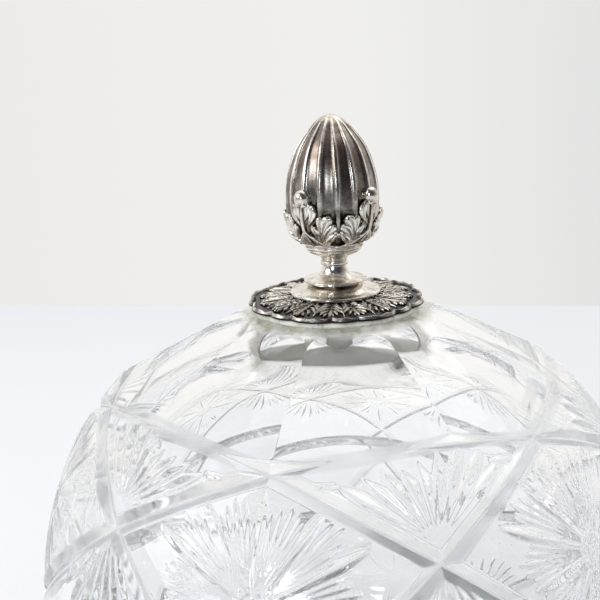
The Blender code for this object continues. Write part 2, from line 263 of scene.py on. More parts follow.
def star_cuts(x, y):
    """Star in a diamond: ten long rays, fine fans between them and a cross-hatched heart."""
    depth = np.zeros_like(x)
    rays = ((0, 19.5), (33, 20.0), (62, 22.0), (97, 17.0), (140, 16.5), (180, 19.5))
    for angle, length in rays:
        for side in ((1, -1) if 0 < angle < 180 else (1,)):
            depth = np.maximum(depth, leaf_cut(x, y, (0, 0), side * angle, length, 1.3))
    fans = ((16, 15.5), (47, 17.0), (80, 15.5), (118, 13.0), (160, 14.0))
    for angle, length in fans:
        for side in (1, -1):
            turn = math.radians(side * angle)
            start = (SPRAY_START * math.sin(turn), SPRAY_START * math.cos(turn))
            spray = fan(x, y, start, side * angle, spread=14, count=5, length=length, half=0.62,
                        widest=0.72, short=0.86)
            depth = np.maximum(depth, spray)
    half = HATCH_PITCH / 2
    hatch = np.maximum(np.abs((x + y) % HATCH_PITCH - half), np.abs((x - y) % HATCH_PITCH - half))
    heart = np.maximum(0.6 * depth, 0.75 * CUT_STEEPNESS * hatch)
    return np.where(np.hypot(x, y) < HEART_R, heart, depth)


def motif(azimuth, line, s, toward):
    """Depth of fans and stars over one sixth. toward is 1 if the joint is at the line's end."""
    azimuth = np.degrees(azimuth)
    radius = line[:, 0][:, None]
    to_joint = (s[-1] - s if toward > 0 else s)[:, None]

    def chart(middle, start):
        x = radius * np.radians(azimuth - middle)
        y = np.broadcast_to(to_joint - start, x.shape)
        return x, y

    depth = np.zeros((len(s), azimuth.shape[-1]))
    inside = diamond_mask(azimuth, line, toward)
    x, y = chart(0.0, STAR_UP)
    depth = np.maximum(depth, np.where(inside == 1, star_cuts(x, y), 0))
    for middle in (-30.0, 30.0):
        x, y = chart(middle, FAN_UP)
        flower = fan(x, y, (0, 0), 0, spread=54, count=9, length=19.5, half=1.4, widest=0.72,
                     short=0.95)
        for side in (1, -1):
            spray = fan(x, y, (side * 22.5, 10.0), side * -102, spread=22, count=3, length=9.0,
                        half=0.8)
            flower = np.maximum(flower, spray)
        depth = np.maximum(depth, np.where(inside == 2, flower, 0))
        x, y = chart(middle, FAN_UP - SKIRT_DROP)
        skirt = fan(x, y, (0, 0), 180, spread=38, count=7, length=22.0, half=1.5, widest=0.7,
                    short=0.9)
        depth = np.maximum(depth, np.where(inside == 3, skirt, 0))
    return depth


def mitre_height(radius, off):
    """Height of a mitre's plane over the joint, at an angle off its highest side."""
    return MITRE_RISE + MITRE_SLOPE * radius * np.cos(off)


def mitre_planes(azimuth, line, above):
    """Height over each mitre's plane, measured along the surface."""
    radius = line[:, 0][:, None]
    offs = []
    for k in range(MITRES):
        middle = math.radians((k + 0.5) * 360.0 / MITRES)
        level = above - mitre_height(radius, azimuth - middle)
        along = np.gradient(level, arc_lengths(line), axis=0)
        across = MITRE_SLOPE * np.sin(azimuth - middle)
        offs.append(level / np.hypot(along, across))
    return offs


def above_joint(line, toward):
    """Heights of a line's points over the joint of lid and jar, or under it for the jar."""
    return (line[:, 1] + (LID_H if toward > 0 else 0.0)) * toward


def diamond_mask(azimuth, line, toward):
    """1 in a star's diamond, 2 in a fan's triangle, 3 under the fans, 0 elsewhere."""
    radius = line[:, 0][:, None]
    above = above_joint(line, toward)[:, None] + 0 * azimuth
    count = np.zeros_like(above)
    for k in range(MITRES):
        off = np.radians(azimuth - (k + 0.5) * 360.0 / MITRES)
        count += above < mitre_height(radius, off)
    kind = np.zeros_like(above)
    kind[count == 2] = 1
    kind[count == 1] = 2
    kind[count >= 3] = 3
    return kind


def cut_surface(line, toward, azimuths, panels):
    """Depth of all cuts over a line's rows, and how much each point is part of a cut."""
    s = arc_lengths(line)
    above = above_joint(line, toward)
    sixth = len(azimuths) // MITRES
    patch = motif(azimuths[:sixth][None, :] - math.radians(30), line, s, toward)
    motifs = np.roll(np.tile(patch, (1, MITRES)), -sixth // 2, axis=1)
    grooves = np.zeros_like(motifs)
    for off in mitre_planes(azimuths[None, :], line, above[:, None]):
        grooves = np.maximum(grooves, CUT_STEEPNESS * (MITRE_HALF - np.abs(off)))
    depth = np.maximum(motifs, grooves)
    marks = np.clip(depth / CUT_BLEND, 0, 1)
    if panels:
        depth = np.maximum(depth, panel_depth(line, azimuths))
    return depth, marks, np.clip(grooves / MITRE_BLEND, 0, 1)


def panel_depth(line, azimuths):
    """How far the crown's flat panels lie under the turned line."""
    width = 2 * math.pi / PANELS
    off = (azimuths % width) - width / 2
    normal = outward(line)
    radius, height = line[:, 0][:, None], line[:, 1][:, None]
    proud = (height + math.tan(PANEL_SLOPE) * radius * np.cos(off) - PANEL_APEX)
    proud = proud * math.cos(PANEL_SLOPE)
    facing = normal[:, :1] * math.sin(PANEL_SLOPE) * np.cos(off)
    facing = np.maximum(0.3, facing + normal[:, 1:] * math.cos(PANEL_SLOPE))
    return np.maximum(0, proud / facing)


def cut_rows(line, base, toward, azimuths, panels):
    """Rows of a turned line with its cuts taken out, and their marks."""
    depth, marks, grooves = cut_surface(line, toward, azimuths, panels)
    normal = outward(line)
    radius = line[:, 0][:, None] - normal[:, :1] * depth
    height = base + line[:, 1][:, None] - normal[:, 1:] * depth
    return ring_of(radius, height, azimuths[None, :]), marks, grooves


def plain_rows(points, base, azimuths):
    """Rows of a turned line without cuts."""
    line = np.array(points, float)
    return ring_of(line[:, 0][:, None], base + line[:, 1][:, None], azimuths[None, :])


def join_rows(parts):
    """Stack cut and plain rows, with their marks."""
    grids, marks, grooves = [], [], []
    for part in parts:
        rows, mark, groove = part if isinstance(part, tuple) else (part, None, None)
        grids.append(rows)
        blank = np.zeros(rows.shape[:2])
        marks.append(blank if mark is None else mark)
        grooves.append(blank if groove is None else groove)
    return np.concatenate(grids), {"cut": np.concatenate(marks),
                                   "mitre": np.concatenate(grooves)}


def lid_glass():
    """Lid: seat with its blind socket, cut outside, rim and smooth inside."""
    columns = 1440
    step = 0.31
    azimuths = all_round(columns)
    edge = 0.5
    outer = smooth_line(LID_OUTER, step)
    outer = outer[outer[:, 1] > edge - LID_H]
    seat = [(0.8, SOCKET_FLOOR), (SOCKET_R - 0.3, SOCKET_FLOOR), (SOCKET_R, SOCKET_FLOOR + 0.3),
            (SOCKET_R, SEAT_Z - 0.4), (SOCKET_R + 0.4, SEAT_Z), (8.0, SEAT_Z), (13.0, SEAT_Z),
            (17.9, SEAT_Z)]
    rim = [(BODY_R - edge, -LID_H), (BODY_R - WALL + edge, -LID_H)]
    inner = smooth_line(LID_INNER[:-2], 1.5)
    inner[0] = (BODY_R - WALL, -LID_H + edge)
    crown = [(9.0, CEILING), (6.0, CEILING), (3.0, CEILING), (0.8, CEILING)]
    grid, marks = join_rows([
        plain_rows(seat, PLATE_Z, azimuths),
        cut_rows(outer, PLATE_Z, 1, azimuths, True),
        plain_rows(rim, PLATE_Z, azimuths),
        plain_rows(inner, PLATE_Z, azimuths),
        plain_rows(crown, PLATE_Z, azimuths),
    ])
    tips = (PLATE_Z + SOCKET_FLOOR, PLATE_Z + CEILING)
    radius = np.hypot(grid[..., 0], grid[..., 1])
    outside = np.arange(len(grid))[:, None] < len(seat) + len(outer)
    stained = outside * (radius > SEAT_R - 0.4)
    marks["stain"] = np.clip((STAIN_R - radius) / STAIN_SOFT, 0, 1) * stained
    lid = grid_object("lid_cut_glass", grid, tips=tips, marks=marks, flip=True)
    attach(lid, "lid")
    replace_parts(lid, "glass_lid")
    return lid


def jar_glass():
    """Jar: smooth inside, neck, cut outside and a star under the foot."""
    columns = 1440
    step = 0.4
    azimuths = all_round(columns)
    inner = smooth_line(JAR_INNER, 1.5)
    neck = [(57.0, NECK_H - 0.1), (NECK_R - 0.6, NECK_H), (NECK_R, NECK_H - 0.6),
            (NECK_R, 0.4), (NECK_R + 0.4, 0.0), (BODY_R - 0.7, 0.0)]
    outer = smooth_line(JAR_OUTER, step)
    outer = outer[outer[:, 1] < -0.5]
    foot = [(JAR_FOOT_R - 0.5, -JAR_H), (FOOT_RING_R, -JAR_H)]
    grid, marks = join_rows([
        plain_rows(inner, JAR_H, azimuths),
        plain_rows(neck, JAR_H, azimuths),
        cut_rows(outer, JAR_H, -1, azimuths, False),
        plain_rows(foot, JAR_H, azimuths),
        base_star(np.linspace(FOOT_RING_R - 1, 1.0, 66), azimuths),
    ])
    tips = (FLOOR_T, BASE_LIFT + BASE_DEEP)
    jar = grid_object("jar_cut_glass", grid, tips=tips, marks=marks, flip=True)
    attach(jar, "jar")
    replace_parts(jar, "glass_jar")
    return jar


def base_star(radii, azimuths):
    """Star of radial cuts on the foot."""
    width = 2 * math.pi / BASE_RAYS
    off = np.abs((azimuths + width / 2) % width - width / 2)[None, :]
    r = radii[:, None]
    reach = np.where(((azimuths // width) % 2 == 0), BASE_LONG, BASE_SHORT)[None, :]
    half = 0.42 * width * r * np.clip((reach - r) / 12.0, 0, 1)
    depth = np.clip(CUT_STEEPNESS * (half - off * r), 0, BASE_DEEP)
    rows = ring_of(r + 0 * depth, BASE_LIFT + depth, azimuths[None, :])
    return rows, np.clip(depth / CUT_BLEND, 0, 1), None


# ---------------------------------------------------------------- raised ornament
def blade(shape, surface, start, end, bend=0.0, half=0.8, thick=0.5, lift=0.0, widest=0.6,
          crease=0.35, along=14, across=11, foot=-0.25):
    """Leaf lobe on a surface: a domed strip, pointed at the tip, with a crease down it.

    surface maps (x, y, height) in mm to a point. bend bows the lobe sideways, and lift is
    how high its tip stands off the surface.
    """
    start, end = np.array(start, float), np.array(end, float)
    chord = end - start
    side = np.array([chord[1], -chord[0]]) / np.hypot(*chord)
    recess = shape.verts.layers.float.get("recess") or shape.verts.layers.float.new("recess")
    top, under = [], []
    power = math.log(0.5) / math.log(widest)
    for i in range(along + 1):
        t = i / along
        middle = start + chord * t + side * bend * 4 * t * (1 - t)
        width = half * (0.16 + 0.84 * math.sin(math.pi * (0.02 + 0.97 * t) ** power) ** 0.8)
        if t > 0.97:
            width *= 0.35
        rise = lift * t ** 2.2
        upper, lower = [], []
        for j in range(across):
            a = 2 * j / (across - 1) - 1
            dome = max(0.0, 1 - abs(a) ** 2.4) ** 0.6
            groove = crease * math.exp(-((a / 0.2) ** 2))
            swell = thick * (0.35 + 0.65 * width / half)
            x, y = middle + side * a * width
            upper.append(shape.verts.new(surface(x, y, rise + swell * dome * (1 - groove))))
            shadow = max(1.0 - 1.25 * dome, groove / max(crease, 0.3) * 0.55, 0.45 - t)
            upper[-1][recess] = min(1.0, max(0.0, shadow))
            lower.append(shape.verts.new(surface(x, y, rise * 0.75 + foot)))
            lower[-1][recess] = 1.0
        top.append(upper)
        under.append(lower)
    for a, b in zip(top, top[1:]):
        for j in range(across - 1):
            shape.faces.new((a[j], a[j + 1], b[j + 1], b[j]))
    for a, b in zip(under, under[1:]):
        for j in range(across - 1):
            shape.faces.new((a[j], b[j], b[j + 1], a[j + 1]))
    for j in range(across - 1):
        shape.faces.new((top[0][j], under[0][j], under[0][j + 1], top[0][j + 1]))
        shape.faces.new((top[-1][j], top[-1][j + 1], under[-1][j + 1], under[-1][j]))
    for k in (0, across - 1):
        for i in range(along):
            shape.faces.new((top[i][k], top[i + 1][k], under[i + 1][k], under[i][k]))


def ball(shape, centre, radius, stretch=(1, 1, 1), segments=20):
    """Ball at a point in mm, stretched along X, Y and Z."""
    size = Matrix.Diagonal((*(radius * k for k in stretch), 1))
    bmesh.ops.create_uvsphere(shape, u_segments=segments, v_segments=segments * 2 // 3,
                              radius=1.0, matrix=Matrix.Translation(centre) @ size)


def finished(shape, name, body, node, finish):
    """Make an object of a bmesh in mm, ride it on a body and give it its finish."""
    bmesh.ops.scale(shape, vec=(MM, MM, MM), verts=shape.verts)
    bmesh.ops.recalc_face_normals(shape, faces=shape.faces)
    mesh = bpy.data.meshes.new(name)
    shape.to_mesh(mesh)
    shape.free()
    mesh.shade_smooth()
    item = bpy.data.objects.new(name, mesh)
    bpy.context.scene.collection.objects.link(item)
    return dressed(item, body, node, finish)


def dressed(item, body, node, finish):
    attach(item, body)
    if node:
        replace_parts(item, *node) if isinstance(node, tuple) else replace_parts(item, node)
    item.data.materials.append(finish)
    return item


def turned(name, points, node, finish, columns=128, step=0.15, base=KNOB_Z):
    """Round piece from a smooth closed line of (radius, height) points in mm."""
    line = smooth_line(list(points) + [points[0]], step)[:-1]
    azimuths = all_round(columns)
    grid = ring_of(line[:, 0][:, None], base + line[:, 1][:, None], azimuths[None, :])
    item = grid_object(name, grid, closed_rows=True, flip=True)
    return dressed(item, "lid", node, finish)


# ---------------------------------------------------------------- bud
BUD_LINE = smooth_line(BUD, 0.22)
BUD_ARC = arc_lengths(BUD_LINE)
BUD_NORMAL = outward(BUD_LINE)


def on_bud(middle):
    """Surface map for ornament: x round the bud and y up it from its foot, in mm."""
    def surface(x, y, height):
        s = BUD_ARC[-1] - y
        r = np.interp(s, BUD_ARC, BUD_LINE[:, 0])
        z = np.interp(s, BUD_ARC, BUD_LINE[:, 1])
        nr = np.interp(s, BUD_ARC, BUD_NORMAL[:, 0])
        nz = np.interp(s, BUD_ARC, BUD_NORMAL[:, 1])
        turn = math.radians(middle) + x / max(r, 2.0)
        radius = r + nr * height
        return Vector((radius * math.sin(turn), -radius * math.cos(turn),
                       KNOB_Z + z + nz * height))
    return surface


def fluted_bud(silver):
    """Bud with hollow channels between narrow fillets, and a small button at the tip."""
    per_flute = 24
    azimuths = all_round(BUD_FLUTES * per_flute)
    line, normal = BUD_LINE[2:], BUD_NORMAL[2:]
    r = line[:, 0][:, None]
    pitch = 2 * math.pi * r / BUD_FLUTES
    phase = (azimuths - math.radians(KNOB_TURN)) * BUD_FLUTES / (2 * math.pi)
    off = np.abs(phase % 1 - 0.5)[None, :]
    fillet = (0.12 + 0.026 * r) / pitch
    channel = 0.5 - np.clip(fillet, 0, 0.49)
    hollow = np.clip(1 - (off / channel) ** 4, 0, 1) ** 0.7
    s = arc_lengths(line)[:, None]
    fade = np.clip((s - 2.0) / 2.6, 0, 1) ** 0.7
    depth = np.minimum(0.60, 0.34 * channel * pitch) * hollow * fade
    radius = r - normal[:, :1] * depth
    height = KNOB_Z + line[:, 1][:, None] - normal[:, 1:] * depth
    outer = ring_of(radius, height, azimuths[None, :])
    inside = [(4.0, 12.25), (6.0, 13.9), (8.3, 18.0), (8.3, 23.0), (5.5, 32.0), (1.5, 37.2)]
    inner = plain_rows(inside, KNOB_Z, azimuths)
    grid = np.concatenate([outer, inner])
    shaded = np.clip(hollow * fade * 1.3, 0, 1)
    under_leaves = np.clip((s - s[-1] + 12.0) / 1.5, 0, 1)
    recess = np.maximum(shaded * 0.86, under_leaves * (0.85 + 0.15 * shaded))
    recess = np.concatenate([recess, np.ones(inner.shape[:2])])
    bud = grid_object("fluted_bud", grid, tips=(KNOB_Z + BUD[0][1] - 0.05, KNOB_Z + 37.6),
                      marks={"recess": recess}, flip=True)
    dressed(bud, "lid", "bud_shell", silver)


# Lobes of half an acanthus leaf: start and end (across, up the bud), bow, half width,
# thickness, lift of the tip and where the lobe is widest.
LEAF_LOBES = (
    ((2.6, 1.9), (6.9, 7.7), -0.5, 1.15, 0.70, 0.25, 0.80),      # three tips of one lobe
    ((2.5, 1.9), (6.0, 9.6), -0.3, 1.25, 0.80, 0.35, 0.84),
    ((2.4, 1.9), (4.1, 9.5), 0.3, 1.05, 0.70, 0.25, 0.84),
    ((5.5, 4.4), (6.8, 6.3), 0.3, 0.70, 0.60, 0.2, 0.60),
    ((1.7, 1.9), (2.2, 7.6), 0.7, 0.90, 0.60, 0.3, 0.78),       # two small lobes by the rib
    ((1.1, 1.9), (1.1, 5.2), 0.4, 0.60, 0.50, 0.2, 0.74),
    ((0.3, 7.0), (2.4, 11.8), 0.9, 1.00, 0.55, 0.1, 0.72),      # ears under the curled tip
    ((0.2, 8.2), (1.3, 12.6), 0.6, 0.95, 0.60, 0.1, 0.70),
)


def acanthus_leaf(number, silver):
    """Half-round rib, paired lobes and a curled, ball-like tip."""
    middle = KNOB_TURN + number * 360.0 / LEAVES
    surface = on_bud(middle)
    shape = bmesh.new()
    blade(shape, surface, (0, 1.7), (0, 12.8), 0, 0.42, 0.85, 0.1, 0.35, 0.0)
    for side in (1, -1):
        for start, end, bow, half, thick, lift, widest in LEAF_LOBES:
            blade(shape, surface, (side * start[0], start[1]), (side * end[0], end[1]),
                  side * bow, half, thick, lift, widest)
        swag(shape, surface, side)
    ball(shape, surface(0, 13.0, 0.0), 1.68, (1.0, 1.0, 1.1), 28)
    for side in (1, -1):
        ball(shape, surface(side * 0.75, 11.7, 0.5), 0.62)
    finished(shape, f"acanthus_{number + 1}", "lid", f"acanthus_leaf_{number + 1}",
             silver)


def swag(shape, surface, side):
    """Bead that sweeps from a leaf's rib round to half way to the next one."""
    points = []
    for i in range(17):
        t = i / 16
        turn = math.pi / 4 * math.sin(math.pi / 2 * t) ** 1.2
        up = 1.35 + 5.0 * (1 - t) ** 2.4
        radius = float(np.interp(BUD_ARC[-1] - up, BUD_ARC, BUD_LINE[:, 0]))
        points.append(surface(side * turn * radius, up, 0.35))
    tube(shape, points, 0.3)


def tube(shape, points, radius, sides=8):
    """Round bar through points, closed at both ends."""
    rows = []
    for i, here in enumerate(points):
        ahead = points[min(i + 1, len(points) - 1)] - points[max(i - 1, 0)]
        out = Vector((here.x, here.y, 0)).normalized()
        across = ahead.cross(out).normalized()
        out = across.cross(ahead).normalized()
        ring = []
        for k in range(sides):
            a = 2 * math.pi * k / sides
            ring.append(shape.verts.new(here + (across * math.cos(a) + out * math.sin(a)) * radius))
        rows.append(ring)
    for a, b in zip(rows, rows[1:]):
        for k in range(sides):
            n = (k + 1) % sides
            shape.faces.new((a[k], a[n], b[n], b[k]))
    shape.faces.new(rows[0])
    shape.faces.new(rows[-1])


def berry(number, silver):
    """Pierced drop between two leaves, under two small leaves that lean together."""
    surface = on_bud(KNOB_TURN + (number + 0.5) * 360.0 / LEAVES)
    shape = bmesh.new()
    ball(shape, surface(0, 1.9, 0.45), 0.55, (1.2, 1.2, 0.8), 16)
    for side in (1, -1):
        blade(shape, surface, (side * 2.1, 1.6), (side * 0.4, 5.9), side * 0.6, 0.95, 1.0, 0.4,
              0.62, 0.3)
        blade(shape, surface, (side * 2.7, 1.6), (side * 2.4, 4.2), side * 0.3, 0.45, 0.7, 0.2,
              0.6, 0.2)
    finished(shape, f"bead_{number + 1}", "lid", f"berry_{number + 1}", silver)


# ---------------------------------------------------------------- plate and stem
def scalloped(azimuth):
    """Radius of the plate's edge at an azimuth in degrees: narrow and wide scallops."""
    share = (azimuth - PLATE_TURN) * SCALLOP_PAIRS / 360.0 + SCALLOP_SHARE / 2
    share = share % 1
    narrow = share < SCALLOP_SHARE
    across = np.where(narrow, 2 * share / SCALLOP_SHARE - 1,
                      2 * (share - SCALLOP_SHARE) / (1 - SCALLOP_SHARE) - 1)
    swell = np.where(narrow, 0.7, 1.0)
    return PLATE_R - SCALLOP_D + SCALLOP_D * swell * (1 - np.abs(across) ** 2.4)


def plate_ground(r):
    """Height of the plate's ground, which falls from its middle to its edge."""
    return np.interp(r, (0, 9.5, 13.0, 16.0, 19.4), (1.72, 1.35, 1.0, 0.62, 0.45))


def rosette(silver):
    """Plate with a rolled and scalloped rim over a sunk ground."""
    columns = 960
    azimuths = all_round(columns)
    edge = scalloped(np.degrees(azimuths))[None, :]
    share = np.concatenate([np.linspace(0.085, 0.92, 48), np.linspace(0.925, 1.0, 22)])
    r = edge * share[:, None]
    inset = edge - r
    wide = 0.36
    bead = np.sqrt(np.clip(1 - ((inset - wide) / wide) ** 2, 0, 1))
    wave = 0.12 * np.sin(azimuths * SCALLOP_PAIRS * 5) + 0.08 * np.sin(azimuths * 23 + 1)
    top = plate_ground(r) + bead * (0.55 + wave[None, :])
    top = np.where(inset < 0.25, np.minimum(top, 0.4 + 2.2 * inset), top)
    low = np.where(inset < 0.25, 0.15, 0.0)
    upper = ring_of(r, PLATE_Z + top, azimuths[None, :])
    lower = ring_of(r, PLATE_Z + low + 0 * r, azimuths[None, :])[::-1]
    worn = 0.34 + 0.34 * np.sin(azimuths * 31 + 2 * np.sin(azimuths * 7))[None, :]
    recess = np.maximum(np.clip(1.3 - bead * 1.9, 0, 1), worn) + 0 * r
    grid = np.concatenate([upper, lower])
    marks = {"recess": np.concatenate([recess, np.ones_like(recess)])}
    plate = grid_object("rosette_rim_and_ground", grid, closed_rows=True, marks=marks,
                        flip=True)
    dressed(plate, "lid", "rosette_plate", silver)


def on_plate(middle):
    """Surface map for ornament: x across and y outwards from the axis, in mm."""
    def surface(x, y, height):
        turn = math.radians(middle)
        r = math.hypot(x, y)
        turn += math.atan2(x, y)
        z = float(plate_ground(r)) + height
        return Vector((r * math.sin(turn), -r * math.cos(turn), PLATE_Z + z))
    return surface


# Lobes of half a sprig: start and end (across, out), bow and half width.
SPRIG_LOBES = (
    ((0.1, 9.4), (1.45, 10.9), 0.20, 0.28), ((0.1, 10.4), (2.05, 12.3), 0.30, 0.36),
    ((0.9, 11.4), (2.45, 12.9), 0.20, 0.26), ((0.1, 11.8), (2.35, 14.0), 0.30, 0.38),
    ((1.0, 13.0), (2.75, 14.5), 0.20, 0.28), ((0.1, 13.2), (1.75, 15.5), 0.25, 0.36),
    ((0.1, 14.4), (0.95, 16.6), 0.15, 0.30),
)


def sprigs(silver):
    """Acanthus sprigs on the plate, with a small stamen between each two."""
    shape = bmesh.new()
    for number in range(SPRIGS):
        turn = PLATE_TURN + (number + 0.5) * 360.0 / SPRIGS
        surface = on_plate(turn)
        lean = 0.2 if number % 2 else -0.2
        blade(shape, surface, (0, 8.8), (lean, 16.9), lean, 0.40, 0.75, 0.1, 0.8, 0.25)
        for side in (1, -1):
            for start, end, bend, half in SPRIG_LOBES:
                blade(shape, surface, (side * start[0], start[1]), (side * end[0], end[1]),
                      side * bend, half, 0.62, 0.15, 0.66, 0.3, 9, 7)
        surface = on_plate(turn + 180.0 / SPRIGS)
        for side in (1, -1):
            blade(shape, surface, (side * 0.15, 9.4), (side * 0.62, 12.4), 0, 0.2, 0.4, 0, 0.6,
                  0.0, 8, 7)
        blade(shape, surface, (0, 9.2), (0, 16.6), 0, 0.18, 0.45, 0, 0.8, 0.0, 8, 7)
    finished(shape, "rosette_sprigs", "lid", None, silver)


def stem(silver):
    """Sloping base ring, flared foot with a thin lip, neck ring and calyx cup."""
    turned("base_skirt", [
        (5.5, 3.12), (6.2, 2.98), (7.1, 2.56), (8.2, 2.1), (9.2, 1.92), (9.66, 1.86),
        (9.84, 1.66), (9.8, 1.36), (9.5, 1.12), (7.0, 1.2), (1.8, 1.3), (1.8, 1.88),
        (5.1, 1.9), (5.2, 2.9),
    ], "base_ring", silver, step=0.1)
    turned("flared_foot", [
        (2.62, 7.44), (2.66, 7.1), (2.84, 6.5), (3.2, 5.85), (3.8, 5.25), (4.7, 4.78),
        (5.7, 4.52), (6.35, 4.5), (6.68, 4.34), (6.74, 4.05), (6.5, 3.78), (5.6, 3.6),
        (4.95, 3.3), (4.85, 2.2), (4.6, 2.05), (1.7, 2.05), (1.7, 4.5), (1.7, 7.45),
    ], "stem_foot", silver, step=0.1)
    turned("neck_collar", [
        (2.6, 8.46), (2.86, 8.4), (3.02, 8.2), (3.06, 7.96), (3.02, 7.72), (2.86, 7.52),
        (2.6, 7.46), (1.7, 7.46), (1.7, 8.46),
    ], "neck_ring", silver, step=0.08)
    turned("calyx", [
        (4.4, 12.5), (5.8, 12.95), (6.5, 12.75), (6.6, 12.35), (6.2, 12.15), (6.15, 11.95),
        (6.4, 11.7), (6.3, 11.4), (5.9, 11.25), (5.85, 11.1), (6.0, 10.9), (5.7, 10.55),
        (4.9, 10.1), (4.0, 9.75), (3.3, 9.4), (2.9, 9.0), (2.7, 8.7), (2.6, 8.48),
        (1.7, 8.48), (1.7, 12.0), (3.0, 12.25),
    ], "calyx_cup", silver, step=0.08)


# ---------------------------------------------------------------- fixings under the plate
def fixings(brass, cement):
    """Boss and threaded stud, with the cement that wets the glass and holds the plate."""
    turned("cement_layer", [
        (18.2, -0.1), (18.45, -0.5), (18.42, -1.0), (18.1, SEAT_Z - BOND), (17.5, SEAT_Z - BOND),
        (17.0, SEAT_Z + 0.15), (10.0, SEAT_Z + 0.15), (3.6, SEAT_Z + 0.15), (3.1, -0.6),
        (3.3, -0.1), (12.0, -0.08),
    ], "cement_bed", cement, step=0.25, base=PLATE_Z)
    plug_r = SOCKET_R + BOND
    turned("cement_plug", [
        (plug_r, -1.0), (plug_r, -3.0), (plug_r, -8.2), (2.9, SOCKET_FLOOR - BOND),
        (1.75, SOCKET_FLOOR - BOND), (1.4, -8.4), (1.4, -1.3), (1.75, -1.0),
    ], "stud_cement", cement, columns=48, base=PLATE_Z)
    stud(brass)
    turned("boss", [
        (3.5, 14.4), (3.7, 14.2), (3.7, 12.45), (3.55, 12.3), (1.5, 12.3), (1.5, 14.4),
    ], "bud_boss", brass)


def stud(brass):
    """Rod with a helical thread, chamfered at both ends."""
    low, high = (mm(corner.z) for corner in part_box("threaded_stud"))
    pitch, deep = 0.6, 0.2
    heights = np.linspace(high, low, int((high - low) / 0.06))
    azimuths = all_round(24)
    turn = heights[:, None] / pitch - azimuths[None, :] / (2 * math.pi)
    thread = np.abs((turn % 1) * 2 - 1) * deep
    end = np.minimum(high - heights, heights - low)
    radius = 1.3 - np.maximum(thread, np.clip(0.4 - end, 0, 0.4)[:, None])
    grid = ring_of(radius, heights[:, None], azimuths[None, :])
    item = grid_object("stud_with_thread", grid, tips=(high, low), flip=True)
    dressed(item, "lid", "threaded_stud", brass)


# ---------------------------------------------------------------- node helpers
class Nodes:
    """Short way to write a material's nodes."""

    def __init__(self, name):
        self.material = bpy.data.materials.new(name)
        self.material.use_nodes = True
        self.tree = self.material.node_tree
        self.shader = self.tree.nodes["Principled BSDF"]

    def add(self, kind, **values):
        node = self.tree.nodes.new(kind)
        for key, value in values.items():
            if key in node.inputs:
                node.inputs[key].default_value = value
            else:
                setattr(node, key, value)
        return node

    def link(self, out, into):
        self.tree.links.new(out, into)

    def noise(self, scale, detail=4.0, rough=0.5, source=None):
        node = self.add("ShaderNodeTexNoise")
        node.inputs["Scale"].default_value = scale
        node.inputs["Detail"].default_value = detail
        node.inputs["Roughness"].default_value = rough
        self.link(source or self.place(), node.inputs["Vector"])
        return node.outputs["Fac"]

    def place(self):
        return self.add("ShaderNodeTexCoord").outputs["Object"]

    def ramp(self, source, *stops):
        node = self.add("ShaderNodeValToRGB")
        band = node.color_ramp
        while len(band.elements) < len(stops):
            band.elements.new(0.5)
        for element, (at, colour) in zip(band.elements, stops):
            element.position = at
            element.color = (*colour, 1) if len(colour) == 3 else colour
        self.link(source, node.inputs["Fac"])
        return node.outputs["Color"]

    def math(self, operation, a, b=None, clamp=False):
        node = self.add("ShaderNodeMath", operation=operation, use_clamp=clamp)
        for socket, value in zip(node.inputs, (a, b)):
            if value is None:
                continue
            if isinstance(value, (int, float)):
                socket.default_value = value
            else:
                self.link(value, socket)
        return node.outputs[0]

    def mix(self, share, a, b):
        node = self.add("ShaderNodeMix", data_type="RGBA")
        for socket, value in zip((node.inputs[0], node.inputs[6], node.inputs[7]),
                                 (share, a, b)):
            if isinstance(value, tuple):
                socket.default_value = (*value, 1)
            elif isinstance(value, (int, float)):
                socket.default_value = value
            else:
                self.link(value, socket)
        return node.outputs[2]

    def attribute(self, name):
        return self.add("ShaderNodeAttribute", attribute_name=name).outputs["Fac"]

    def bump(self, height, strength, distance=0.0002):
        node = self.add("ShaderNodeBump")
        node.inputs["Strength"].default_value = strength
        node.inputs["Distance"].default_value = distance
        self.link(height, node.inputs["Height"])
        self.link(node.outputs["Normal"], self.shader.inputs["Normal"])

    def set(self, **values):
        for key, value in values.items():
            self.shader.inputs[key.replace("_", " ")].default_value = value


